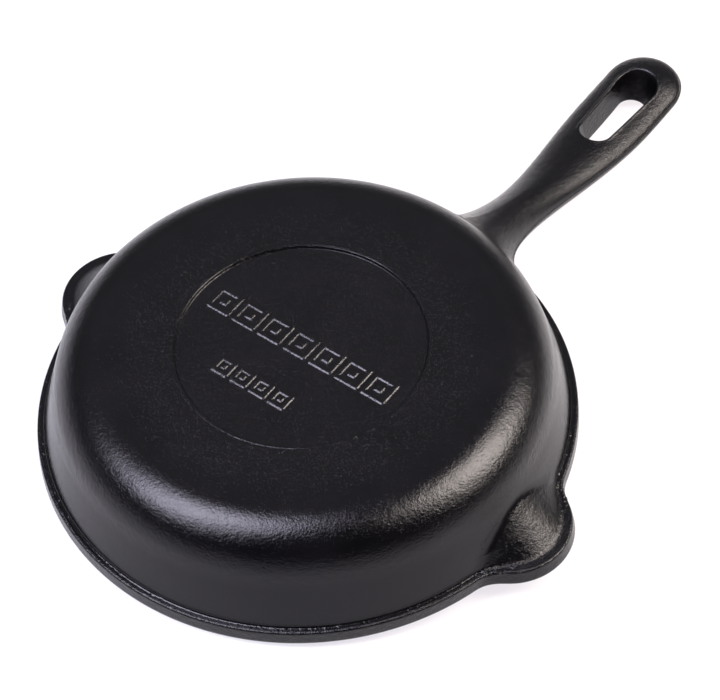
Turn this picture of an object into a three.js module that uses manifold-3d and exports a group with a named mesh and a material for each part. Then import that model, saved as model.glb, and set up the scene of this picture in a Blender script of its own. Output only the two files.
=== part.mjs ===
// Cast iron skillet with two pour spouts and a long handle with a hanging hole.
// Units are millimetres. The skillet lies upside down: +Z points out of its underside,
// +X runs along the handle, and the spouts are on the Y axis. The origin is the centre of
// the shallow round panel in the underside, on the pan's own axis.
//
// The real skillet is one iron casting. Here it is built whole, and then divided by flat
// cuts into the regions that a foundry or a cook would name, one mesh each.

import * as THREE from 'three';
import { mergeVertices } from 'three/addons/utils/BufferGeometryUtils.js';
import Module from 'manifold-3d';

const wasm = await Module();
wasm.setup();

// ---- Driving dimensions ----

const RIM_RADIUS = 82.55; // 6.5 inches across the rim
const DEPTH = 34.4; // from the plane of the rim to the flat base
const PANEL_RADIUS = 37.5; // shallow panel sunk in the underside
const PANEL_DEPTH = 0.8;
const FLOOR = 4.0; // iron under the panel
const WALL = 3.9;
const WALL_DRAFT = THREE.MathUtils.degToRad(17); // the wall leans outward to the rim

const CORNER_RADIUS = 16.6; // soft turn from base to wall
const CORNER_CENTRE = 58.8; // distance of that turn's centre from the axis
const INNER_CORNER_RADIUS = 12.7;

const BAND_HEIGHT = 5; // thicker band round the rim
const BAND_TAPER = 0.45; // the band is this much narrower at its ledge
const EDGE = 0.6; // eased edge of the rim

const SPOUT_CENTRE = 74.5; // centre of each spout's circle, from the axis
const LOBE_RADIUS = 19.5; // the band where it goes round a spout
const LOBE_TAPER = 1;
const BULGE_RADIUS = 15.3; // the wall's bulge under a spout, at the band's ledge
const BULGE_NARROWING = 0.75; // radius lost for each millimetre towards the base
const BULGE_RETREAT = 0.55; // centre's shift to the axis for each millimetre
const CHANNEL_WALL = 4.6; // the pouring channel inside the bulge is this much smaller
const CHANNEL_SHIFT = 0.6;
const LOBE_FILLET = 5;
const BULGE_FILLET = 5;

const HANDLE_START = 76; // inside the wall, where the root is buried
const HANDLE_TIP = 202.6;
const TIP_RADIUS = 13.4;
const HANDLE_DROP = 5.9; // its middle line below the rim's plane, near the root
const CROWN = 9.2; // height of its top above the middle line, at the neck
const CROWN_LOSS = 4.3; // the top is this much flatter at the grip
const BELLY = 4.6;
const BELLY_GAIN = 1.7; // and the belly this much deeper
const ROOT_RISE = 8; // the root's climb up the wall
const ROOT_X = 80; // where the handle's root meets the rim
const ROOT_FADE = 9; // how quickly the root thins into the neck
// Half widths of the handle along X: trumpet root, narrow neck, broad grip.
const HALF_WIDTHS = [[76, 24], [80, 24], [83, 20.4], [86, 17], [89, 14.6], [92, 12.8], [95, 11.5],
  [100, 10.1], [105, 9.2], [112, 8.7], [120, 8.8], [130, 9.6], [140, 10.7], [150, 11.8], [160, 12.8],
  [170, 13.3], [175, 13.4], [190, 13.4]];

// The hanging hole runs between two round ends and narrows downward: [centre X, radius].
const HOLE_DEPTH = 11;
const HOLE_TOP = [[159.9, 5.75], [185, 7.2]];
const HOLE_BOTTOM = [[162.2, 4.4], [182.5, 4.9]];

const FLOOR_CUT = -8; // flat cuts between the named regions
const BAND_CUT = -28.5;
const SPOUT_TOP = -11;
const SPOUT_HALF = 22;
const SPOUT_INNER = 60;
const NECK_CUT = 84;
const GRIP_CUT = 146;

const TURN_STEPS = 120;
const SECTION_STEPS = 28;
const CROWN_POWER = 1.1; // a section's top comes nearer to a roof than an ellipse does
const BELLY_POWER = 0.87; // and its belly is a little squarer than an ellipse

const BASE_Z = PANEL_DEPTH;
const RIM_Z = BASE_Z - DEPTH;
const LEDGE_Z = RIM_Z + BAND_HEIGHT;

// ---- Solids ----

// A closed mesh from rings of points, each ring with the same number of points.
function loft(rings) {
  const count = rings[0].length;
  const positions = rings.flat().flatMap((p) => [p.x, p.y, p.z]);
  const index = [];
  for (let i = 0; i + 1 < rings.length; i++) {
    for (let j = 0; j < count; j++) {
      const k = (j + 1) % count;
      const [a, b] = [i * count + j, i * count + k];
      const [c, d] = [a + count, b + count];
      index.push(a, b, d, a, d, c);
    }
  }
  for (const [ring, flip] of [[0, true], [rings.length - 1, false]]) {
    const centre = rings[ring].reduce((sum, p) => sum.add(p), new THREE.Vector3());
    centre.divideScalar(count);
    const middle = positions.length / 3;
    positions.push(centre.x, centre.y, centre.z);
    for (let j = 0; j < count; j++) {
      const [a, b] = [ring * count + j, ring * count + ((j + 1) % count)];
      index.push(...(flip ? [b, a, middle] : [a, b, middle]));
    }
  }
  const geometry = new THREE.BufferGeometry();
  geometry.setAttribute('position', new THREE.Float32BufferAttribute(positions, 3));
  geometry.setIndex(index);
  return geometry;
}

function solid(geometry) {
  const bare = geometry.clone();
  bare.deleteAttribute('normal');
  bare.deleteAttribute('uv');
  const merged = mergeVertices(bare);
  const vertProperties = new Float32Array(merged.attributes.position.array);
  const triVerts = new Uint32Array(merged.index.array);
  return new wasm.Manifold(new wasm.Mesh({ numProp: 3, vertProperties, triVerts }));
}

function box(low, high) {
  const size = new THREE.Vector3().subVectors(high, low);
  const geometry = new THREE.BoxGeometry(size.x, size.y, size.z);
  geometry.translate(low.x + size.x / 2, low.y + size.y / 2, low.z + size.z / 2);
  return solid(geometry);
}

function meshOf(name, shape) {
  const { numProp, vertProperties, triVerts } = shape.getMesh();
  const positions = [];
  for (let i = 0; i < vertProperties.length; i += numProp) {
    positions.push(vertProperties[i], vertProperties[i + 1], vertProperties[i + 2]);
  }
  const geometry = new THREE.BufferGeometry();
  geometry.setAttribute('position', new THREE.Float32BufferAttribute(positions, 3));
  geometry.setIndex(Array.from(triVerts));
  geometry.computeVertexNormals();
  const iron = new THREE.MeshStandardMaterial({ color: 0x1f1e22, roughness: 0.42, metalness: 0.35 });
  const mesh = new THREE.Mesh(geometry, iron);
  mesh.name = name;
  return mesh;
}

// ---- The pan: rings round the axis that swell where the spouts are ----

// The larger of two lengths, with a fillet where they are nearly equal.
function softMax(a, b, fillet) {
  const near = Math.max(fillet - Math.abs(a - b), 0) / fillet;
  return Math.max(a, b) + (near * near * fillet) / 4;
}

// Distance from the axis to a spout's circle along a ray at this angle from the spout.
function circleReach(angle, centre, radius) {
  const aside = centre * Math.sin(angle);
  if (Math.abs(aside) >= radius || Math.cos(angle) <= 0) return 0;
  return centre * Math.cos(angle) + Math.sqrt(radius * radius - aside * aside);
}

// One ring at height z. Spouts are at a quarter turn either side of the handle.
function panRing({ z, radius, centre = 0, lobe = 0, fillet = 1 }) {
  const ring = [];
  for (let i = 0; i < TURN_STEPS; i++) {
    const turn = (i / TURN_STEPS) * 2 * Math.PI;
    const fromSpout = Math.acos(Math.abs(Math.sin(turn)));
    const reach = softMax(radius, circleReach(fromSpout, centre, lobe), fillet);
    ring.push(new THREE.Vector3(reach * Math.cos(turn), reach * Math.sin(turn), z));
  }
  return ring;
}

// The wall's outer radius at a height, on the straight that meets the corner's arc.
const CORNER_Z = BASE_Z - CORNER_RADIUS;
const TANGENT_Z = CORNER_Z + CORNER_RADIUS * Math.sin(WALL_DRAFT);
const TANGENT_RADIUS = CORNER_CENTRE + CORNER_RADIUS * Math.cos(WALL_DRAFT);

function wallRadius(z) {
  return TANGENT_RADIUS + (TANGENT_Z - z) * Math.tan(WALL_DRAFT);
}

// The spout's circle in the wall, or inside it when shrunk by the channel's wall.
function bulgeAt(z, shrink = 0, shift = 0) {
  const above = z - LEDGE_Z;
  return {
    centre: SPOUT_CENTRE - BULGE_RETREAT * above - shift,
    lobe: Math.max(BULGE_RADIUS - BULGE_NARROWING * above - shrink, 0),
    fillet: BULGE_FILLET,
  };
}

function cornerRings(centreRadius, centreZ, radius, steps) {
  const rings = [];
  for (let i = 1; i <= steps; i++) {
    const angle = WALL_DRAFT + (i / steps) * (Math.PI / 2 - WALL_DRAFT);
    const z = centreZ + radius * Math.sin(angle);
    rings.push(panRing({ z, radius: centreRadius + radius * Math.cos(angle) }));
  }
  return rings;
}

function panOutside() {
  const lobe = LOBE_RADIUS;
  const band = { centre: SPOUT_CENTRE, fillet: LOBE_FILLET };
  const rings = [
    panRing({ ...band, z: RIM_Z, radius: RIM_RADIUS - EDGE, lobe: lobe - EDGE }),
    panRing({ ...band, z: RIM_Z + EDGE, radius: RIM_RADIUS, lobe }),
    panRing({ ...band, z: LEDGE_Z, radius: RIM_RADIUS - BAND_TAPER, lobe: lobe - LOBE_TAPER }),
  ];
  for (let i = 0; i <= 6; i++) {
    const z = THREE.MathUtils.lerp(LEDGE_Z, TANGENT_Z, i / 6);
    rings.push(panRing({ z, radius: wallRadius(z), ...bulgeAt(z) }));
  }
  rings.push(...cornerRings(CORNER_CENTRE, CORNER_Z, CORNER_RADIUS, 7));
  return solid(loft(rings));
}

function bowl() {
  const aside = WALL / Math.cos(WALL_DRAFT);
  const centreZ = -FLOOR - INNER_CORNER_RADIUS;
  const topZ = centreZ + INNER_CORNER_RADIUS * Math.sin(WALL_DRAFT);
  const topRadius = wallRadius(topZ) - aside;
  const rings = [];
  for (let i = 0; i <= 5; i++) {
    const z = THREE.MathUtils.lerp(RIM_Z - 1, topZ, i / 5);
    const radius = wallRadius(z) - aside;
    rings.push(panRing({ z, radius, ...bulgeAt(z, CHANNEL_WALL, CHANNEL_SHIFT) }));
  }
  const centreRadius = topRadius - INNER_CORNER_RADIUS * Math.cos(WALL_DRAFT);
  rings.push(...cornerRings(centreRadius, centreZ, INNER_CORNER_RADIUS, 6));
  return solid(loft(rings));
}

function panel() {
  const rings = [0, PANEL_DEPTH + 1].map((z) => panRing({ z, radius: PANEL_RADIUS }));
  return solid(loft(rings));
}

// ---- The handle: sections along X ----

// Height of the handle's middle line. It drops past the rim, then levels out.
function handleZ(x) {
  const t = (x - 90) / 100;
  return RIM_Z - HANDLE_DROP - 26 * t + 13.5 * t * t + 2 * t * t * t;
}

function halfWidth(x) {
  const tipCentre = HANDLE_TIP - TIP_RADIUS;
  if (x >= tipCentre) return Math.sqrt(Math.max(TIP_RADIUS ** 2 - (x - tipCentre) ** 2, 0));
  const i = HALF_WIDTHS.findIndex(([end]) => end > x) - 1;
  const [[x0, w0], [x1, w1]] = [HALF_WIDTHS[i], HALF_WIDTHS[i + 1]];
  return THREE.MathUtils.lerp(w0, w1, (x - x0) / (x1 - x0));
}

// One section of the handle. The root sweeps up the wall, and down to the plane of the rim.
function sectionAt(x) {
  const width = halfWidth(x);
  const rounded = x > HANDLE_TIP - TIP_RADIUS ? Math.sqrt(width / TIP_RADIUS) : 1;
  const root = Math.exp((ROOT_X - Math.max(x, ROOT_X + 2)) / ROOT_FADE);
  const share = THREE.MathUtils.smoothstep(x, 85, 140);
  const middle = handleZ(x) + 4 * root;
  const up = (CROWN - CROWN_LOSS * share + ROOT_RISE * root) * rounded;
  const down = Math.max(BELLY + BELLY_GAIN * share - 4.7 * root, 0.5) * rounded;
  const ring = [];
  for (let i = 0; i < SECTION_STEPS; i++) {
    const angle = (i / SECTION_STEPS) * 2 * Math.PI;
    const [c, s] = [Math.cos(angle), Math.sin(angle)];
    const power = s > 0 ? CROWN_POWER : BELLY_POWER;
    const y = width * Math.sign(c) * Math.abs(c) ** power;
    const z = (s > 0 ? up : down) * Math.sign(s) * Math.abs(s) ** power;
    ring.push(new THREE.Vector3(x, y, middle + z));
  }
  return ring;
}

function handle() {
  const stations = [HANDLE_START, 80, 83, 86, 89, 92, 95, 100, 105, 112, 120, 130, 140, 150, 160,
    170, 180, 189.2, 192.5, 195.5, 198, 200, 201.6, 202.4];
  return solid(loft(stations.map(sectionAt)));
}

// An outline round two end circles, at height z.
function slotRing(z, [rootX, rootRadius], [endX, endRadius]) {
  const lean = Math.asin((endRadius - rootRadius) / (endX - rootX));
  const ring = [];
  for (const [x, radius, from, to] of [
    [endX, endRadius, -Math.PI / 2 - lean, Math.PI / 2 + lean],
    [rootX, rootRadius, Math.PI / 2 + lean, (3 * Math.PI) / 2 - lean],
  ]) {
    for (let i = 0; i <= 10; i++) {
      const angle = THREE.MathUtils.lerp(from, to, i / 10);
      ring.push(new THREE.Vector3(x + radius * Math.cos(angle), radius * Math.sin(angle), z));
    }
  }
  return ring;
}

// The hole's drafted sides, carried on past both faces of the handle.
function hangingHole() {
  const [rootTop, endTop] = HOLE_TOP;
  const [rootBottom, endBottom] = HOLE_BOTTOM;
  const face = handleZ((rootTop[0] + endTop[0]) / 2) + CROWN - CROWN_LOSS;
  const between = (top, bottom, t) => top.map((value, i) => THREE.MathUtils.lerp(value, bottom[i], t));
  const rings = [1.4, -0.5].map((t) =>
    slotRing(face - t * HOLE_DEPTH, between(rootTop, rootBottom, t), between(endTop, endBottom, t)));
  return solid(loft(rings));
}

// ---- The casting, and its named regions ----

const casting = panOutside().add(handle()).subtract(bowl()).subtract(panel()).subtract(hangingHole());

const FAR = 300;
const corner = (x, y, z) => new THREE.Vector3(x, y, z);
const aboveFloorCut = box(corner(-FAR, -FAR, FLOOR_CUT), corner(FAR, FAR, FAR));
const belowBandCut = box(corner(-FAR, -FAR, -FAR), corner(FAR, FAR, BAND_CUT));
const beyondNeckCut = box(corner(NECK_CUT, -FAR, -FAR), corner(FAR, FAR, FAR));
const beyondGripCut = box(corner(GRIP_CUT, -FAR, -FAR), corner(FAR, FAR, FAR));
const frontHalf = box(corner(-FAR, -FAR, -FAR), corner(0, FAR, FAR));
const spoutBox = (low, high) => box(corner(-SPOUT_HALF, low, -FAR), corner(SPOUT_HALF, high, SPOUT_TOP));
const leftSpout = spoutBox(SPOUT_INNER, FAR);
const rightSpout = spoutBox(-FAR, -SPOUT_INNER);

const pan = casting.subtract(beyondNeckCut);
const handleOnly = casting.intersect(beyondNeckCut);
const plainPan = pan.subtract(leftSpout).subtract(rightSpout);
const band = plainPan.intersect(belowBandCut);

const regions = {
  pan_floor: plainPan.intersect(aboveFloorCut),
  side_wall: plainPan.subtract(aboveFloorCut).subtract(belowBandCut),
  rim_front: band.intersect(frontHalf),
  rim_back: band.subtract(frontHalf),
  pour_spout_left: pan.intersect(leftSpout),
  pour_spout_right: pan.intersect(rightSpout),
  handle_neck: handleOnly.subtract(beyondGripCut),
  handle_grip: handleOnly.intersect(beyondGripCut),
};

const skillet = new THREE.Group();
for (const [name, shape] of Object.entries(regions)) skillet.add(meshOf(name, shape));

export default skillet;
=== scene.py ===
import math

import bmesh
import bpy
import numpy as np
from mathutils import Matrix, Vector


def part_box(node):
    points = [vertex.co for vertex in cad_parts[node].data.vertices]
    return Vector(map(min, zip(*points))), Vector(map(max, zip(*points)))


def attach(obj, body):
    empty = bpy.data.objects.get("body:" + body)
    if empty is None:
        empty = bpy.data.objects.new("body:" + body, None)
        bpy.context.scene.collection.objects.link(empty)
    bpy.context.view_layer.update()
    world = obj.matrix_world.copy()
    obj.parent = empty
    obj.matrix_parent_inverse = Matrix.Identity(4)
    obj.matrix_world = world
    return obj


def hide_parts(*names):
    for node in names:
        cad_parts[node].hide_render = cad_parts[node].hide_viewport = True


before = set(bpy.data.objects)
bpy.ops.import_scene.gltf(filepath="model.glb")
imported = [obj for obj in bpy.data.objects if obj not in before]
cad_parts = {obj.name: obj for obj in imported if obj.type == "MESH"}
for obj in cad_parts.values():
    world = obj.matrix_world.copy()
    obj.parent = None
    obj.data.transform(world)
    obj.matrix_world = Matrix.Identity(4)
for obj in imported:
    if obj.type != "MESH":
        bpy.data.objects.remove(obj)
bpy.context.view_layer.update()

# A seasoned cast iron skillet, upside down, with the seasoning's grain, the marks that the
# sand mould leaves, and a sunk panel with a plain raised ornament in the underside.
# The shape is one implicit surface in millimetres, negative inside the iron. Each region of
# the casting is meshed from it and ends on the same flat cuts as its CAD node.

MM = 0.001


def node_box(name):
    """The lowest and highest corners of a CAD node's box, in millimetres."""
    low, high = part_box(name)
    return np.array(low) / MM, np.array(high) / MM


FLOOR_LOW, FLOOR_HIGH = node_box("pan_floor")
WALL_LOW = node_box("side_wall")[0]
FRONT_LOW = node_box("rim_front")[0]
SPOUT_HIGH = node_box("pour_spout_left")[1]
NECK_LOW = node_box("handle_neck")[0]
GRIP_LOW, GRIP_HIGH = node_box("handle_grip")

# ---- The casting's dimensions, in millimetres ----

# The rim and the band round it.
RIM_RADIUS = -FRONT_LOW[0]
RIM_Z = FRONT_LOW[2]
BAND_HEIGHT = 5.0
LEDGE_Z = RIM_Z + BAND_HEIGHT
BAND_TAPER = 0.45
RIM_EDGE = 1.2
LIP_EDGE = 1.4
LEDGE_EDGE = 0.7
LEDGE_FILLET = 0.7

# The base, with its panel, the panel's step and the bead round it.
BASE_Z = FLOOR_HIGH[2]
FLOOR_TOP = -4.0
PANEL_RADIUS = 37.5
STEP_WIDTH = 0.8
BEAD_WIDTH = 1.0
BEAD_HEIGHT = 0.09
BEAD_GAP = 0.1

# The wall, and the soft corner between it and the base.
WALL = 3.9
DRAFT = math.radians(17)
CORNER_CENTRE = 58.8
CORNER_RADIUS = 16.6
CORNER_Z = BASE_Z - CORNER_RADIUS
INNER_RADIUS = 12.7
INNER_Z = FLOOR_TOP - INNER_RADIUS
DEEPER = (CORNER_Z - INNER_Z) * math.sin(DRAFT)
INNER_CENTRE = CORNER_CENTRE + (CORNER_RADIUS - WALL - INNER_RADIUS + DEEPER) / math.cos(DRAFT)

# The spouts: a lobe of the rim, a bulge of the wall, and the channel inside it.
LOBE_RADIUS = 19.5
LOBE_TAPER = 1.0
LOBE_JOIN = 4.6
SPOUT_CENTRE = SPOUT_HIGH[1] - LOBE_RADIUS
BULGE_RADIUS = 15.3
BULGE_NARROWING = 0.75
BULGE_RETREAT = 0.55
BULGE_TIP = 3.0
BULGE_LEAN = 0.8
CHANNEL_WALL = 4.6
CHANNEL_SHIFT = 0.6

# The handle's middle line falls from the rim and bends back up.
HANDLE_DROP = 5.9
DROOP_START = 90.0
DROOP_SPAN = 100.0
DROOP_FALL = 26.0
DROOP_BEND = 13.5
DROOP_CURL = 2.0

# The handle's outline from above.
NARROWEST = 8.0
FLARE = 17.0
FLARE_FADE = 9.5
FLARE_FLAT = 0.8
ROOT_FLARING = 1.03
CROWN_NARROWING = 0.3
NARROWING_HEIGHT = 9.0
SWELL = 2.7
SWELL_START = 106.0
SWELL_LENGTH = 69.0
END_RADIUS = 13.4
END_X = GRIP_HIGH[0] - END_RADIUS

# The handle's thickness, at its root and along it.
HANDLE_START = 76.0
HANDLE_JOIN = 6.0
ROOT_X = 80.0
ROOT_FLAT = 2.0
ROOT_FADE = 9.0
ROOT_RISE = 8.0
ROOT_LIFT = 4.0
ROOT_BELLY_LOSS = 4.7
THINNEST_BELLY = 0.8
CROWN = 9.2
CROWN_LOSS = 4.3
BELLY = 4.6
BELLY_GAIN = 1.7
NECK_START = 85.0
NECK_LENGTH = 55.0
NECK_POWER = 1.6
GRIP_POWER = 1.8
BELLY_POWER = 2.3
PARTING_STEP = 0.3

# The hanging hole's round ends, as X and radius, on its upper face and HOLE_DEPTH below.
HOLE_TOP = ((159.9, 5.75), (185.0, 7.2))
HOLE_BOTTOM = ((162.2, 4.4), (182.5, 4.9))
HOLE_DEPTH = 11.0
HOLE_EDGE = 0.6

# The flash that the mould leaves along the ledge and round the hole.
FOOT_FLASH = 0.2
EDGE_FLASH = 0.12
CORNER_FLASH = 0.45
HOLE_FLASH = 0.22
FLASH_WIDTH = 0.35
FLASH_LENGTH = 31.0

# The flat cuts between regions.
FLOOR_CUT = FLOOR_LOW[2]
BAND_CUT = WALL_LOW[2]
SPOUT_TOP = SPOUT_HIGH[2]
SPOUT_HALF = SPOUT_HIGH[0]
SPOUT_INNER = 60.0
NECK_CUT = NECK_LOW[0]
GRIP_CUT = GRIP_LOW[0]


# ---- The implicit surface ----

def smooth_step(t):
    t = np.clip(t, 0, 1)
    return t * t * (3 - 2 * t)


def soft_min(a, b, reach):
    near = np.maximum(reach - np.abs(a - b), 0) / reach
    return np.minimum(a, b) - near * near * (reach / 4)


def soft_max(a, b, reach):
    return -soft_min(-a, -b, reach)


def round_join(a, b, radius):
    """The two shapes together, with a round fillet of this radius where they meet."""
    nearest = np.minimum(a, b)
    both = radius - np.hypot(np.maximum(radius - a, 0), np.maximum(radius - b, 0))
    return np.where(nearest > radius, nearest, np.minimum(both, nearest))


def ridge(distance, place, width):
    """A smooth hump of height 1 at this place."""
    return np.exp(-((distance - place) / width) ** 2)


def lumps(x, y, z, size):
    """Irregular waves about this far apart, from -1 to 1. The numbers keep them uneven."""
    k = 2 * math.pi / size
    return (np.sin(k * (0.81 * x + 0.37 * y + 0.45 * z) + 2.1 * np.sin(k * (0.23 * y - 0.31 * x)))
            * np.sin(k * (0.52 * y - 0.78 * x + 0.3 * z) + 1.7 * np.sin(k * (0.29 * x + 0.17 * y))))


def turned(r, z, centre, centre_z, radius):
    """A wall that leans outward by the draft, then turns through an arc into a flat floor."""
    dr, dz = r - centre, z - centre_z
    cone = dr * math.cos(DRAFT) + dz * math.sin(DRAFT) - radius
    arc = np.hypot(dr, dz) - radius
    flat = np.maximum(dz - radius, cone)
    return np.where(dr < 0, flat, np.where(dz > dr * math.tan(DRAFT), arc, cone))


def bulge_circle(above):
    """Where a bulge's round section is centred, and its radius, this far above the ledge."""
    return SPOUT_CENTRE - BULGE_RETREAT * above, BULGE_RADIUS - BULGE_NARROWING * above


def bulge_join(radius, share, most):
    """How far a bulge blends into the wall: less and less towards its tip."""
    return np.clip((radius - BULGE_TIP) * share, 0.3, most)


def handle_z(x):
    t = (x - DROOP_START) / DROOP_SPAN
    return RIM_Z - HANDLE_DROP - DROOP_FALL * t + DROOP_BEND * t * t + DROOP_CURL * t ** 3


def half_width(x, flaring):
    swell = np.clip((x - SWELL_START) / SWELL_LENGTH, 0, 1)
    flare = FLARE * np.exp((ROOT_X - np.maximum(x, ROOT_X + FLARE_FLAT)) / FLARE_FADE)
    return NARROWEST + flare * flaring + SWELL * (1 - np.cos(math.pi * swell))


def handle_side(x, y, up):
    """Distance from the handle's outline, with the mould's parting step, and its half width."""
    flaring = ROOT_FLARING - CROWN_NARROWING * np.clip(up / NARROWING_HEIGHT, 0, 1)
    width = half_width(x, flaring)
    slope = half_width(x + 0.5, flaring) - half_width(x - 0.5, flaring)
    beyond = x > END_X
    aside = np.where(beyond, np.hypot(x - END_X, y) - END_RADIUS,
                     (np.abs(y) - width) / np.sqrt(1 + slope * slope))
    aside += np.where(up > 0, PARTING_STEP / 2, -PARTING_STEP / 2)
    return aside, np.where(beyond, END_RADIUS, width)


def handle_thickness(x, up, root, share):
    """How far the handle reaches from its middle line, to the side that the point is on."""
    drop = handle_z(x + 0.5) - handle_z(x - 0.5)
    crown = CROWN - CROWN_LOSS * share + ROOT_RISE * root
    belly = np.maximum(BELLY + BELLY_GAIN * share - ROOT_BELLY_LOSS * root, THINNEST_BELLY)
    return np.where(up > 0, crown, belly) * np.sqrt(1 + drop * drop)


def oval(aside, width, up, thick, power):
    """Distance to a rounded section: power 2 is an ellipse, less is nearer a diamond."""
    a = np.maximum(1 + aside / width, 1e-3)
    b = np.maximum(np.abs(up) / thick, 1e-3)
    total = a ** power + b ** power
    size = total ** (1 / power)
    steep = size / total * np.hypot(a ** (power - 1) / width, b ** (power - 1) / thick)
    beside = np.maximum(aside, np.abs(up) - thick)
    return np.maximum((size - 1) / np.maximum(steep, 0.02), beside)


def handle(x, y, z):
    """Distance to a tapering bar with rounded sides, a flared root and a round end."""
    root = np.exp((ROOT_X - np.maximum(x, ROOT_X + ROOT_FLAT)) / ROOT_FADE)
    up = z - handle_z(x) - ROOT_LIFT * root
    share = smooth_step((x - NECK_START) / NECK_LENGTH)
    aside, width = handle_side(x, y, up)
    thick = handle_thickness(x, up, root, share)
    power = np.where(up > 0, NECK_POWER + (GRIP_POWER - NECK_POWER) * share, BELLY_POWER)
    return np.maximum(oval(aside, width, up, thick, power), HANDLE_START - x)


def hanging_hole(x, y, z):
    """Distance to a drafted slot between two round ends."""
    face = handle_z((HOLE_TOP[0][0] + HOLE_TOP[1][0]) / 2) + CROWN - CROWN_LOSS
    t = np.clip((face - z) / HOLE_DEPTH, -1, 2)
    ends = []
    for (top_x, top_r), (low_x, low_r) in zip(HOLE_TOP, HOLE_BOTTOM):
        ends.append((top_x + (low_x - top_x) * t, top_r + (low_r - top_r) * t))
    (x1, r1), (x2, r2) = ends
    across, along, length = np.abs(y), x - x1, x2 - x1
    lean = (r1 - r2) / length
    upright = np.sqrt(1 - lean * lean)
    place = upright * along - lean * across
    first = np.hypot(across, along) - r1
    second = np.hypot(across, along - length) - r2
    flank = upright * across + lean * along - r1
    return np.where(place < 0, first, np.where(place > upright * length, second, flank))


def flash(x, ay, z, wall, band):
    """Height of the rough bits left along the ledge by the two halves of the mould."""
    level = ridge(z, LEDGE_Z, 0.8)
    foot = FOOT_FLASH * ridge(wall, 0.6, FLASH_WIDTH)
    edge = EDGE_FLASH * ridge(band, -0.4, FLASH_WIDTH)
    corner = CORNER_FLASH * ridge(np.abs(x), 16.5, 2.6) * ridge(wall, 1.6, 1.5) * (ay > SPOUT_INNER)
    bits = np.clip(lumps(x, ay, z, 2.3) * lumps(ay, x, z, 4.1) * 1.6, 0, 1)
    uneven = 0.5 + 0.5 * lumps(x, ay, z, FLASH_LENGTH)
    return level * bits * (foot * uneven + edge * (1 - uneven) + corner)


def outer_form(x, y, z):
    """Distance to the pan and its spouts, as if they were solid."""
    r, ay = np.hypot(x, y), np.abs(y)
    centre, radius = bulge_circle(np.maximum(z - LEDGE_Z, 0))
    wall = turned(r, z, CORNER_CENTRE, CORNER_Z, CORNER_RADIUS)
    bulge = (np.hypot(x, ay - centre) - radius) * BULGE_LEAN
    wall = soft_min(wall, bulge, bulge_join(radius, 0.7, 6.5))
    up = (z - RIM_Z) / BAND_HEIGHT
    lobe = np.hypot(x, ay - SPOUT_CENTRE) - LOBE_RADIUS + LOBE_TAPER * up
    band = soft_min(r - RIM_RADIUS + BAND_TAPER * up, lobe, LOBE_JOIN)
    band = soft_max(band, z - LEDGE_Z, LEDGE_EDGE)
    pan = round_join(wall, band, LEDGE_FILLET) - flash(x, ay, z, wall, band)
    return soft_max(pan, RIM_Z - z, RIM_EDGE)


def bowl_space(x, y, z):
    """Distance to the room inside the bowl and its two pouring channels."""
    r, ay = np.hypot(x, y), np.abs(y)
    bowl = turned(r, z, INNER_CENTRE, INNER_Z, INNER_RADIUS)
    centre, radius = bulge_circle(z - LEDGE_Z)
    channel = (np.hypot(x, ay - centre + CHANNEL_SHIFT) - radius + CHANNEL_WALL) * BULGE_LEAN
    return soft_min(bowl, channel, bulge_join(radius, 0.5, 5.0))


def pierced(iron, x, y, z):
    """The grip with its hanging hole, and flash round the hole's edge."""
    slot = hanging_hole(x, y, z)
    bead = (0.6 + 0.4 * lumps(x, y, z, 17)) * ridge(slot, 0.6, 0.4)
    return soft_max(iron - HOLE_FLASH * bead, -slot, HOLE_EDGE)


def casting(x, y, z):
    """Distance to the whole skillet, negative inside the iron."""
    iron = outer_form(x, y, z)
    back = x > HANDLE_START - 10
    if back.any():
        bar = np.full_like(x, 50.0)
        bar[back] = handle(x[back], y[back], z[back])
        iron = soft_min(iron, bar, HANDLE_JOIN)
    iron = soft_max(iron, -bowl_space(x, y, z), LIP_EDGE)
    grip = x > GRIP_CUT - 6
    if grip.any():
        iron[grip] = pierced(iron[grip], x[grip], y[grip], z[grip])
    return iron


def gradient(points, step=0.04):
    """The direction in which the casting's distance grows, at each point."""
    slope = np.empty_like(points)
    for axis in range(3):
        shift = np.zeros(3)
        shift[axis] = step
        ahead, behind = casting(*(points + shift).T), casting(*(points - shift).T)
        slope[:, axis] = (ahead - behind) / (2 * step)
    return slope


# ---- Meshing: surface nets on a grid, then each vertex pulled onto the surface ----

COARSE = 4
EXACT_REACH = 1.7
CHUNK = 400000
EMPTY_CELLS = 2
PULLS = 2
LEAST_STEEPNESS = 0.05
LONGEST_PULL = 0.6

def field(low, count, step):
    """The casting's values on a grid, exact near the surface and coarse elsewhere."""
    rough = (count + COARSE - 1) // COARSE + 1
    axes = [low[i] + (np.arange(rough[i]) * COARSE + (COARSE - 1) / 2) * step for i in range(3)]
    grid = np.meshgrid(*axes, indexing="ij")
    values = casting(*(g.ravel() for g in grid)).reshape(grid[0].shape)
    for axis in range(3):
        values = np.repeat(values, COARSE, axis)
    values = np.ascontiguousarray(values[:count[0], :count[1], :count[2]])
    near = np.abs(values) < COARSE * step * EXACT_REACH
    points = np.argwhere(near) * step + low
    chunks = np.array_split(points, max(1, len(points) // CHUNK))
    values[near] = np.concatenate([casting(*chunk.T) for chunk in chunks])
    return values


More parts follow.
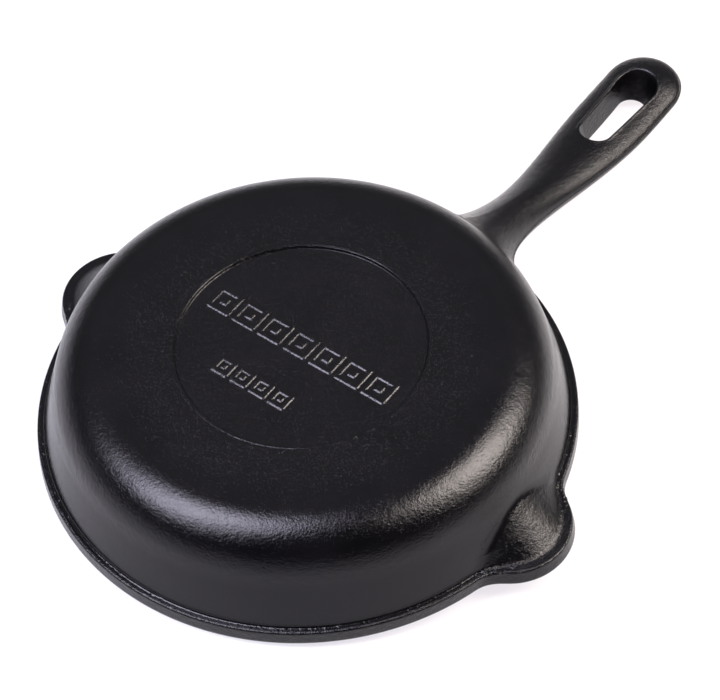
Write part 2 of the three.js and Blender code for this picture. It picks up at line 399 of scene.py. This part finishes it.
def corner_crossings(values, cells):
    """The mean of the points where the surface crosses each cell's edges."""
    corners = np.array([(i, j, k) for i in (0, 1) for j in (0, 1) for k in (0, 1)])
    at = np.stack([values[tuple((cells + c).T)] for c in corners], 1)
    total = np.zeros((len(cells), 3))
    number = np.zeros(len(cells))
    for a in range(8):
        for b in range(a + 1, 8):
            if np.abs(corners[a] - corners[b]).sum() != 1:
                continue
            crosses = (at[:, a] < 0) != (at[:, b] < 0)
            share = at[:, a] / np.where(crosses, at[:, a] - at[:, b], 1)
            point = corners[a] + share[:, None] * (corners[b] - corners[a])
            total += np.where(crosses[:, None], point, 0)
            number += crosses
    return cells + total / number[:, None]


def crossed_cells(inside):
    """The grid cells that the surface passes through, and each one's number on the grid."""
    size = np.array(inside.shape)
    filled = sum(inside[i:size[0] - 1 + i, j:size[1] - 1 + j, k:size[2] - 1 + k].astype(np.int8)
                 for i in (0, 1) for j in (0, 1) for k in (0, 1))
    cells = np.argwhere((filled > 0) & (filled < 8))
    index = np.full(filled.shape, -1, np.int64)
    index[tuple(cells.T)] = np.arange(len(cells))
    return cells, index


def cells_round(base, axis, index):
    """The numbers of the four cells round each grid edge, in order."""
    ring = []
    for one, two in ((0, 0), (1, 0), (1, 1), (0, 1)):
        cell = base.copy()
        cell[:, (axis + 1) % 3] += one
        cell[:, (axis + 2) % 3] += two
        ring.append(index[tuple(cell.T)])
    return ring


def surface_net(values, low, step):
    """One vertex in each crossed cell, and two triangles across each crossed grid edge."""
    inside = values < 0
    cells, index = crossed_cells(inside)
    triangles = []
    for axis in range(3):
        near, far = [slice(1, -1)] * 3, [slice(1, -1)] * 3
        near[axis], far[axis] = slice(0, -1), slice(1, None)
        first, second = inside[tuple(near)], inside[tuple(far)]
        for turn, mask in ((1, first & ~second), (-1, ~first & second)):
            ring = np.stack(cells_round(np.argwhere(mask), axis, index)[::turn], 1)
            triangles += [ring[:, [0, 1, 2]], ring[:, [0, 2, 3]]]
    return corner_crossings(values, cells) * step + low, np.concatenate(triangles)


def mesh_field(low, high, step):
    """The casting's skin inside a box."""
    low = low - EMPTY_CELLS * step
    count = np.ceil((high + EMPTY_CELLS * step - low) / step).astype(int) + 1
    points, triangles = surface_net(field(low, count, step), low, step)
    for _ in range(PULLS):
        slope = gradient(points)
        steepness = np.maximum((slope ** 2).sum(1), LEAST_STEEPNESS)
        move = -(casting(*points.T) / steepness)[:, None] * slope
        length = np.maximum(np.linalg.norm(move, axis=1), 1e-9)
        points += move * np.minimum(1, LONGEST_PULL * step / length)[:, None]
    return points, triangles


# ---- Cutting a region out, and closing it with flat caps ----

def split(points, triangles, axis, value, snap=0.02):
    """Divides the triangles that cross a plane, and welds close vertices onto it."""
    points[np.abs(points[:, axis] - value) < snap, axis] = value
    side = np.sign(points[:, axis] - value)[triangles]
    crossing = (side.min(1) < 0) & (side.max(1) > 0)
    whole, cut, side = triangles[~crossing], triangles[crossing], side[crossing]
    if not len(cut):
        return points, whole
    touching = (side == 0).any(1)
    lone = np.where(touching, (side == 0).argmax(1), (side == -side.sum(1)[:, None]).argmax(1))
    a, b, c = (cut[np.arange(len(cut)), (lone + k) % 3] for k in range(3))
    edges = np.concatenate([np.stack([a, b], 1)[~touching], np.stack([a, c], 1)[~touching],
                            np.stack([b, c], 1)[touching]])
    unique, place = np.unique(np.sort(edges, 1), axis=0, return_inverse=True)
    start, end = points[unique[:, 0]], points[unique[:, 1]]
    share = (value - start[:, axis]) / (end[:, axis] - start[:, axis])
    fresh = start + share[:, None] * (end - start)
    fresh[:, axis] = value
    made = place.ravel() + len(points)
    n = (~touching).sum()
    p, q, m = made[:n], made[n:2 * n], made[2 * n:]
    a1, b1, c1 = a[~touching], b[~touching], c[~touching]
    a0, b0, c0 = a[touching], b[touching], c[touching]
    pieces = [whole] + [np.stack(t, 1) for t in (
        (a1, p, q), (p, b1, c1), (p, c1, q), (a0, b0, m), (a0, m, c0))]
    return np.concatenate([points, fresh]), np.concatenate(pieces)


def open_edges(triangles):
    """The edges that only one triangle uses."""
    edges = np.sort(triangles[:, [0, 1, 1, 2, 2, 0]].reshape(-1, 2), 1)
    unique, number = np.unique(edges, axis=0, return_counts=True)
    return unique[number == 1]


def bridge_edges(points, rim, planes):
    """Straight edges through the iron where two flat cuts meet."""
    bridges = []
    for i, (axis, value, _) in enumerate(planes):
        for other, level, _ in planes[i + 1:]:
            if other == axis:
                continue
            on_both = rim[(points[rim, axis] == value) & (points[rim, other] == level)]
            along = 3 - axis - other
            line = on_both[np.argsort(points[on_both, along])]
            bridges += list(zip(line[0::2], line[1::2]))
    return np.array(bridges, int).reshape(-1, 2)


def cap(points, edges, axis, outward):
    """Triangles that fill a flat outline, facing outward."""
    bm = bmesh.new()
    used = np.unique(edges)
    made = {i: bm.verts.new(points[i]) for i in used}
    lines = [bm.edges.new((made[a], made[b])) for a, b in edges]
    normal = [0.0, 0.0, 0.0]
    normal[axis] = float(outward)
    bmesh.ops.triangle_fill(bm, use_beauty=True, edges=lines, normal=normal)
    bm.verts.index_update()
    faces = np.array([[used[v.index] for v in face.verts] for face in bm.faces])
    bm.free()
    one, two, three = (points[faces[:, k]] for k in range(3))
    facing = np.cross(two - one, three - one)[:, axis] * outward
    faces[facing < 0] = faces[facing < 0][:, ::-1]
    return faces


def region(low, high, step, planes, keep):
    """One region's closed mesh: its curved skin, then its flat caps. Also its normals."""
    points, skin = mesh_field(low, high, step)
    for axis, value, _ in planes:
        points, skin = split(points, skin, axis, value)
    skin = skin[keep(*points[skin].mean(1).T)]
    same = (skin[:, 0] == skin[:, 1]) | (skin[:, 1] == skin[:, 2]) | (skin[:, 2] == skin[:, 0])
    skin = skin[~same]
    used, skin = np.unique(skin, return_inverse=True)
    points, skin = points[used], skin.reshape(-1, 3)
    slope = gradient(points)
    slope /= np.linalg.norm(slope, axis=1, keepdims=True)
    rim_edges = open_edges(skin)
    edges = np.concatenate([rim_edges, bridge_edges(points, np.unique(rim_edges), planes)])
    faces, normals = [skin], [slope[skin].reshape(-1, 3)]
    for axis, value, outward in planes:
        flat = edges[(points[edges, axis] == value).all(1)]
        if not len(flat):
            continue
        lid = cap(points, flat, axis, outward)
        normal = np.zeros(3)
        normal[axis] = outward
        faces.append(lid)
        normals.append(np.tile(normal, (lid.size, 1)))
    return points, np.concatenate(faces), np.concatenate(normals)


def build(name, points, faces, normals, material):
    """A piece from points in millimetres, lists of face corners, and a normal per corner."""
    mesh = bpy.data.meshes.new(name)
    mesh.from_pydata((points * MM).tolist(), [], faces)
    mesh.shade_smooth()
    mesh.normals_split_custom_set(normals.tolist())
    mesh.materials.append(material)
    piece = bpy.data.objects.new(name, mesh)
    bpy.context.scene.collection.objects.link(piece)
    return piece


# ---- The underside: a structured mesh, fine enough for the panel's ornament ----

PANEL_RINGS = 110
STEP_ROWS = 8
BEAD_ROWS = 9
BASE_ROWS = 5
CORNER_ROWS = 14
INNER_ROWS = 11

# The ornament: rows of hollow squares with a small solid one inside each.
RELIEF = 0.31
BEVEL = 0.8
HALF_LINE = 0.75
SQUARE_CORNER = 0.8
DOT_SHARE = 0.3
DOT_CORNER = 0.3
SHORT_ROW_X = -19.5
SHORT_ROW_Y = 3.0


def rounded_square(u, v, half, corner):
    """Distance to a square with rounded corners."""
    over_u, over_v = np.abs(u) - half + corner, np.abs(v) - half + corner
    outside = np.hypot(np.maximum(over_u, 0), np.maximum(over_v, 0))
    return outside + np.minimum(np.maximum(over_u, over_v), 0) - corner


def squares(u, v, count, pitch, half):
    """Height of a row of raised hollow squares, each with a small solid one inside."""
    relief = np.zeros_like(u)
    for k in range(count):
        along = u - (k - (count - 1) / 2) * pitch
        hollow = np.abs(rounded_square(along, v, half, SQUARE_CORNER) + HALF_LINE) - HALF_LINE
        dot = rounded_square(along, v, DOT_SHARE * half, DOT_CORNER)
        distance = np.minimum(hollow, dot)
        relief = np.maximum(relief, RELIEF * smooth_step(0.5 - distance / BEVEL))
    return relief


def ornament(x, y):
    """A plain row of squares across the panel, and a shorter one beside it."""
    long_row = squares(-y, x, count=7, pitch=9.6, half=4.3)
    short_row = squares(SHORT_ROW_Y - y, x - SHORT_ROW_X, count=4, pitch=7.0, half=3.1)
    return np.maximum(long_row, short_row)


def panel_height(x, y):
    r = np.hypot(x, y)
    return ornament(x, y) + BASE_Z * smooth_step((r - PANEL_RADIUS) / STEP_WIDTH + 0.5)


def disc_grid(radius, rings):
    """Points of a square grid bent onto a disc, its quads, and the outermost ring in order."""
    span = np.arange(-rings, rings + 1)
    i, j = np.meshgrid(span, span, indexing="ij")
    ring = np.maximum(np.abs(i), np.abs(j))
    safe_i, safe_j = np.where(i == 0, 1, i), np.where(j == 0, 1, j)
    sideways = np.abs(i) >= np.abs(j)
    angle = np.where(sideways, math.pi / 4 * j / safe_i + np.where(i < 0, math.pi, 0),
                     math.pi / 2 - math.pi / 4 * i / safe_j + np.where(j < 0, math.pi, 0))
    reach = ring / rings * radius
    x, y = reach * np.cos(angle), reach * np.sin(angle)
    index = np.arange(i.size).reshape(i.shape)
    quads = np.stack([index[:-1, :-1], index[1:, :-1], index[1:, 1:], index[:-1, 1:]], -1)
    edge = index[ring == rings]
    turn = np.mod(angle[ring == rings] + 1e-9, 2 * math.pi)
    return x.ravel(), y.ravel(), quads.reshape(-1, 4), edge[np.argsort(turn)]


def panel_surface():
    """The sunk panel inside its step: points, normals, quads, and the outermost ring."""
    x, y, quads, edge = disc_grid(PANEL_RADIUS - STEP_WIDTH / 2, PANEL_RINGS)
    step = 0.05
    slope_x = (panel_height(x + step, y) - panel_height(x - step, y)) / (2 * step)
    slope_y = (panel_height(x, y + step) - panel_height(x, y - step)) / (2 * step)
    lean = np.stack([-slope_x, -slope_y, np.ones_like(x)], 1)
    lean /= np.linalg.norm(lean, axis=1, keepdims=True)
    return np.stack([x, y, panel_height(x, y)], 1), lean, quads, edge


# Each row of a profile is one ring: its radius, its height, and its normal out and up.

def sloping_row(r, z, slope):
    length = math.hypot(slope, 1)
    return r, z, -slope / length, 1 / length


def step_rows():
    """Up the step round the panel."""
    for t in np.arange(1, STEP_ROWS + 1) / STEP_ROWS:
        slope = BASE_Z * 6 * t * (1 - t) / STEP_WIDTH
        yield sloping_row(PANEL_RADIUS + (t - 0.5) * STEP_WIDTH, BASE_Z * smooth_step(t), slope)


def bead_rows(start):
    """Over the fine bead beside the step."""
    for t in np.linspace(0, 1, BEAD_ROWS):
        turn = 2 * math.pi * t
        z = BASE_Z + BEAD_HEIGHT * (1 - math.cos(turn)) / 2
        slope = BEAD_HEIGHT * math.pi / BEAD_WIDTH * math.sin(turn)
        yield sloping_row(start + t * BEAD_WIDTH, z, slope)


def arc_rows(centre, centre_z, radius, steps, sign):
    """Along a turn from the flat floor to the cut; a sign of -1 turns the normals inward."""
    last = math.asin((FLOOR_CUT - centre_z) / radius)
    for a in np.linspace(math.pi / 2, last, steps):
        out, up = math.cos(a), math.sin(a)
        yield centre + radius * out, centre_z + radius * up, sign * out, sign * up


def floor_profile():
    """The rows from the panel's step out to the cut, and the rows back inside the bowl."""
    edge = PANEL_RADIUS + STEP_WIDTH / 2
    outer = list(step_rows()) + list(bead_rows(edge + BEAD_GAP))
    outer += [(r, BASE_Z, 0.0, 1.0)
              for r in np.linspace(edge + 2 * BEAD_WIDTH, CORNER_CENTRE - 1, BASE_ROWS)]
    outer += arc_rows(CORNER_CENTRE, CORNER_Z, CORNER_RADIUS, CORNER_ROWS, 1)
    inner = list(arc_rows(INNER_CENTRE, INNER_Z, INNER_RADIUS, INNER_ROWS, -1))
    return outer, inner[::-1]


def around(turns, out, up):
    """Evenly spaced places, or directions, round the pan's axis."""
    angle = np.arange(turns) / turns * 2 * math.pi
    return np.stack([out * np.cos(angle), out * np.sin(angle), np.full(turns, up)], 1)


def underside(material):
    """The panel, the rings round it and back inside, and a fan that closes the bowl's floor."""
    panel, panel_normals, quads, edge = panel_surface()
    turns = len(edge)
    outer, inner = floor_profile()
    rows = outer + inner
    points = np.concatenate([panel] + [around(turns, r, z) for r, z, _, _ in rows]
                            + [[(0, 0, FLOOR_TOP)]])
    vertex_normals = np.concatenate([panel_normals] + [around(turns, *row[2:]) for row in rows]
                                    + [[(0, 0, -1)]])
    middle = len(points) - 1
    rings = [edge] + list(np.arange(len(panel), middle).reshape(-1, turns))
    bands = [np.stack([one, two, np.roll(two, -1), np.roll(one, -1)], 1)
             for one, two in zip(rings[:-1], rings[1:])]
    faces = np.concatenate([quads] + bands)
    fan = np.stack([rings[-1], np.full(turns, middle), np.roll(rings[-1], -1)], 1)
    normals = vertex_normals[faces]
    cut = len(quads) + turns * len(outer)
    normals[cut:cut + turns] = (0, 0, -1)
    normals = np.concatenate([normals.reshape(-1, 3), vertex_normals[fan].reshape(-1, 3)])
    return build("pan_underside", points, faces.tolist() + fan.tolist(), normals, material)


# ---- Materials ----

def add(tree, kind, **settings):
    """A shader node; each setting is a property, a linked socket, or an input's value."""
    node = tree.nodes.new("ShaderNode" + kind)
    for key, value in settings.items():
        if isinstance(value, bpy.types.NodeSocket):
            tree.links.new(value, node.inputs[key.replace("_", " ")])
        elif hasattr(node, key):
            setattr(node, key, value)
        else:
            node.inputs[key.replace("_", " ")].default_value = value
    return node


def maths(tree, operation, a, b=0.0, c=0.0):
    node = tree.nodes.new("ShaderNodeMath")
    node.operation = operation
    for socket, value in zip(node.inputs, (a, b, c)):
        if isinstance(value, bpy.types.NodeSocket):
            tree.links.new(value, socket)
        else:
            socket.default_value = value
    return node.outputs[0]


def noise(tree, place, scale, detail, roughness):
    made = add(tree, "TexNoise", Vector=place, Scale=scale, Detail=detail, Roughness=roughness)
    return made.outputs["Fac"]


def fade(tree, value, start, end, first, last, kind="SMOOTHSTEP"):
    """Goes from first to last while the value goes from start to end."""
    return add(tree, "MapRange", Value=value, From_Min=start, From_Max=end, To_Min=first,
               To_Max=last, interpolation_type=kind).outputs[0]


def axes_of(tree, place):
    return add(tree, "SeparateXYZ", Vector=place).outputs


def ramp(tree, value, stops):
    """A colour that goes through these (position, colour) stops."""
    node = add(tree, "ValToRGB", Fac=value)
    elements = node.color_ramp.elements
    for _ in stops[2:]:
        elements.new(0.5)
    for element, (position, colour) in zip(elements, stops):
        element.position = position
        element.color = colour
    return node.outputs[0]


def painted(name):
    material = bpy.data.materials.new(name)
    material.use_nodes = True
    return material, material.node_tree, material.node_tree.nodes["Principled BSDF"]


# ---- The seasoned iron: noise scales are per millimetre, bump heights in millimetres ----

GRAIN_HEIGHT = 0.15
PEEL_HEIGHT = 0.13
SWELL_HEIGHT = 0.1
SMOOTHING = 0.75


def smooth_wall(tree, radius, z):
    """1 on the outer wall below the soft corner, which is smoother than the rest."""
    out = maths(tree, "MULTIPLY_ADD", radius, math.cos(DRAFT), -CORNER_CENTRE * math.cos(DRAFT))
    up = maths(tree, "MULTIPLY_ADD", z, math.sin(DRAFT), -CORNER_Z * math.sin(DRAFT))
    cone = maths(tree, "SUBTRACT", maths(tree, "ADD", out, up), CORNER_RADIUS)
    near = fade(tree, maths(tree, "ABSOLUTE", cone), 0.3, 1.2, 1.0, 0.0)
    return maths(tree, "MULTIPLY", near, fade(tree, z, -16.0, -11.0, 1.0, 0.0))


def iron_height(tree, place, radius, smooth):
    """The cast grain, the seasoning's orange peel, sparse pimples and low swells."""
    grain = noise(tree, place, 1.8, 3.0, 0.6)
    peel = noise(tree, place, 0.55, 2.0, 0.5)
    swell = noise(tree, place, 0.09, 2.0, 0.5)
    pimples = fade(tree, noise(tree, place, 2.9, 1.0, 0.5), 0.6, 0.78, 0.0, 1.0, "LINEAR")
    sparse = fade(tree, radius, 44.0, 62.0, 0.06, 0.02)
    stronger = fade(tree, radius, 54.0, 84.0, 0.45, 1.15)
    textured = maths(tree, "MULTIPLY", maths(tree, "MULTIPLY_ADD", smooth, -SMOOTHING, 1.0),
                     stronger)
    grain = maths(tree, "MULTIPLY", grain, GRAIN_HEIGHT)
    height = maths(tree, "MULTIPLY_ADD", peel, PEEL_HEIGHT, grain)
    height = maths(tree, "MULTIPLY", height, textured)
    height = maths(tree, "MULTIPLY_ADD", pimples, sparse, height)
    return maths(tree, "MULTIPLY_ADD", swell, SWELL_HEIGHT, height)


def iron_roughness(tree, place, patches, smooth):
    rough = fade(tree, patches, 0.3, 0.7, 0.1, 0.135, "LINEAR")
    rough = maths(tree, "MULTIPLY_ADD", noise(tree, place, 2.2, 2.0, 0.6), 0.05, rough)
    return maths(tree, "MULTIPLY_ADD", smooth, -0.02, rough)


def seasoned_iron():
    material, tree, shader = painted("seasoned_iron")
    place = add(tree, "TexCoord").outputs["Object"]
    place = add(tree, "VectorMath", operation="SCALE", Vector=place, Scale=1 / MM).outputs[0]
    x, y, z = axes_of(tree, place)
    radius = maths(tree, "SQRT", maths(tree, "MULTIPLY_ADD", x, x,
                                       maths(tree, "MULTIPLY", y, y)))
    smooth = smooth_wall(tree, radius, z)
    patches = noise(tree, place, 0.05, 3.0, 0.6)
    height = iron_height(tree, place, radius, smooth)
    bump = add(tree, "Bump", Height=height, Distance=MM, Strength=1.0)
    colour = ramp(tree, patches, ((0.3, (0.0008, 0.0007, 0.001, 1)),
                                  (0.75, (0.002, 0.0018, 0.0024, 1))))
    rough = iron_roughness(tree, place, patches, smooth)
    tree.links.new(bump.outputs["Normal"], shader.inputs["Normal"])
    tree.links.new(rough, shader.inputs["Roughness"])
    tree.links.new(colour, shader.inputs["Base Color"])
    shader.inputs["IOR"].default_value = 1.5
    shader.inputs["Specular Tint"].default_value = (0.51, 0.5, 0.545, 1)
    return material


# ---- The studio, in metres ----

LOOK_AZIMUTH = math.radians(-49.99)
LOOK_ELEVATION = math.radians(51.26)
LOOK_ROLL = math.radians(-3.99)
LOOK_DISTANCE = 0.7329
LOOK_AT = Vector((0.02047, -0.00525, -0.0200))
LENS = 120.5
LAMP_DISTANCE = 1.2
FLOOR_HALF = 4.0
FLOOR_SQUARES = 8


def direction(azimuth, elevation):
    """Towards the place seen at this azimuth and elevation; zero azimuth is down the Y axis."""
    flat = math.cos(elevation)
    return Vector((math.sin(azimuth) * flat, -math.cos(azimuth) * flat, math.sin(elevation)))


def aimed(back, roll=0.0):
    """A rotation that looks the other way from back, turned by the roll."""
    side = Vector((0, 0, 1)).cross(back).normalized()
    top = back.cross(side)
    right = side * math.cos(roll) + top * math.sin(roll)
    return Matrix((right, back.cross(right), back)).transposed().to_4x4()


def camera():
    lens = bpy.data.cameras.new("camera")
    lens.lens = LENS
    lens.sensor_width = 36
    lens.clip_end = 50
    made = bpy.data.objects.new("camera", lens)
    back = direction(LOOK_AZIMUTH, LOOK_ELEVATION)
    made.matrix_world = Matrix.Translation(LOOK_AT + back * LOOK_DISTANCE) @ aimed(back, LOOK_ROLL)
    bpy.context.scene.collection.objects.link(made)
    bpy.context.scene.camera = made


def soft_light(name, azimuth, elevation, size, power, colour):
    lamp = bpy.data.lights.new(name, "AREA")
    lamp.shape = "RECTANGLE"
    lamp.size, lamp.size_y = size
    lamp.energy = power
    lamp.color = colour
    made = bpy.data.objects.new(name, lamp)
    back = direction(math.radians(azimuth), math.radians(elevation))
    made.matrix_world = Matrix.Translation(back * LAMP_DISTANCE) @ aimed(back)
    bpy.context.scene.collection.objects.link(made)


def sky(world):
    """Brighter overhead and on the side beyond the skillet, with a faint glow low down."""
    tree = world.node_tree
    x, y, z = axes_of(tree, add(tree, "TexCoord").outputs["Generated"])
    behind = maths(tree, "MULTIPLY_ADD", x, 0.77, maths(tree, "MULTIPLY", y, 0.64))
    above = maths(tree, "MULTIPLY", fade(tree, behind, -0.35, 0.35, 0.1, 0.45),
                  fade(tree, z, 0.25, 0.75, 0.35, 1.0))
    glow = fade(tree, z, 0.05, 0.3, 0.14, 0.0)
    background = tree.nodes["Background"]
    tree.links.new(maths(tree, "ADD", above, glow), background.inputs["Strength"])
    background.inputs["Color"].default_value = (0.97, 0.95, 1.0, 1)


def studio():
    soft_light("right_softbox", azimuth=36, elevation=43, size=(0.58, 0.8), power=34,
               colour=(1.0, 0.92, 0.8))
    soft_light("left_softbox", azimuth=234, elevation=61, size=(0.56, 0.9), power=32,
               colour=(0.9, 0.88, 1.0))
    scene = bpy.context.scene
    scene.view_settings.view_transform = "Standard"
    scene.view_settings.look = "None"
    scene.world = bpy.data.worlds.new("studio")
    scene.world.use_nodes = True
    sky(scene.world)


def painted_glow_floor():
    """A floor that glows round the pan: painted light that fills the pan's shadows, with its two
    sides brighter than its middle and tinted like the lamp nearer each side.
    """
    material, tree, shader = painted("pale_floor")
    shader.inputs["Base Color"].default_value = (0.14, 0.14, 0.14, 1)
    shader.inputs["Roughness"].default_value = 0.9
    place = add(tree, "NewGeometry").outputs["Position"]
    x, y, _ = axes_of(tree, place)
    beside = maths(tree, "MULTIPLY_ADD", x, 0.64, maths(tree, "MULTIPLY", y, -0.77))
    across = maths(tree, "MULTIPLY_ADD", beside, 2.5, 0.5)
    # Painted lamplight: the side towards the left softbox glows bluish, the side towards the right
    # softbox warm, and the middle dimmer.
    colour = ramp(tree, across, ((0.0, (0.84, 0.82, 0.96, 1)), (0.5, (0.74, 0.72, 0.78, 1)),
                                 (1.0, (0.94, 0.87, 0.87, 1))))
    away = add(tree, "VectorMath", operation="LENGTH", Vector=place).outputs["Value"]
    tree.links.new(colour, shader.inputs["Emission Color"])
    # Painted light: the glow is full round the pan, where it fills the pan's shadows, and fades
    # further away.
    tree.links.new(fade(tree, away, 0.25, 0.65, 1.0, 0.2), shader.inputs["Emission Strength"])
    return material


def pale_floor(grip):
    """A wide floor that the rim's front edge and the grip's lowest point both rest on."""
    slope = float(((RIM_Z - grip[:, 2]) / (grip[:, 0] + RIM_RADIUS)).max())
    bm = bmesh.new()
    places = [-FLOOR_HALF + 2 * FLOOR_HALF * i / FLOOR_SQUARES for i in range(FLOOR_SQUARES + 1)]
    rows = []
    for x in places:
        z = RIM_Z * MM - slope * (x + RIM_RADIUS * MM)
        rows.append([bm.verts.new((x, y, z)) for y in places])
    for one, two in zip(rows[:-1], rows[1:]):
        for j in range(FLOOR_SQUARES):
            bm.faces.new((one[j], two[j], two[j + 1], one[j + 1]))
    mesh = bpy.data.meshes.new("floor")
    bm.to_mesh(mesh)
    bm.free()
    mesh.materials.append(painted_glow_floor())
    floor = bpy.data.objects.new("floor", mesh)
    bpy.context.scene.collection.objects.link(floor)


# ---- Making it ----

X, Z = 0, 2
MARGIN = 2.0
WALL_GRID = 0.62
FINE_GRID = 0.4
GRIP_GRID = 0.34


def finished(piece, node):
    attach(piece, "root")
    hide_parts(node)


def outside_spouts(x, y, z):
    return ~((np.abs(x) < SPOUT_HALF) & (np.abs(y) > SPOUT_INNER) & (z < SPOUT_TOP))


def regions():
    """Each region's CAD node, grid step, cuts with the way each cap faces, and extent."""
    yield ("side_wall", WALL_GRID,
           [(Z, FLOOR_CUT, 1), (Z, BAND_CUT, -1), (Z, SPOUT_TOP, -1), (X, SPOUT_HALF, -1),
            (X, -SPOUT_HALF, 1), (X, NECK_CUT, 1)],
           lambda x, y, z: (z < FLOOR_CUT) & (z > BAND_CUT) & (x < NECK_CUT)
           & outside_spouts(x, y, z))
    yield ("rim_front", FINE_GRID, [(Z, BAND_CUT, 1), (X, -SPOUT_HALF, 1)],
           lambda x, y, z: (z < BAND_CUT) & (x < -SPOUT_HALF))
    yield ("rim_back", FINE_GRID, [(Z, BAND_CUT, 1), (X, SPOUT_HALF, -1), (X, NECK_CUT, 1)],
           lambda x, y, z: (z < BAND_CUT) & (x > SPOUT_HALF) & (x < NECK_CUT))
    for name, sign in (("pour_spout_left", 1), ("pour_spout_right", -1)):
        yield (name, FINE_GRID,
               [(Z, SPOUT_TOP, 1), (X, SPOUT_HALF, 1), (X, -SPOUT_HALF, -1)],
               lambda x, y, z, sign=sign: (z < SPOUT_TOP) & (np.abs(x) < SPOUT_HALF)
               & (y * sign > SPOUT_INNER))
    yield ("handle_neck", FINE_GRID, [(X, NECK_CUT, -1), (X, GRIP_CUT, 1)],
           lambda x, y, z: (x > NECK_CUT) & (x < GRIP_CUT))
    yield ("handle_grip", GRIP_GRID, [(X, GRIP_CUT, -1)],
           lambda x, y, z: x > GRIP_CUT)


def main():
    camera()
    iron = seasoned_iron()
    skins = {}
    for name, step, planes, keep in regions():
        low, high = node_box(name)
        points, faces, normals = region(low - MARGIN, high + MARGIN, step, planes, keep)
        finished(build("iron_" + name, points, faces.tolist(), normals, iron), name)
        skins[name] = points
    finished(underside(iron), "pan_floor")
    pale_floor(skins["handle_grip"])
    studio()


main()
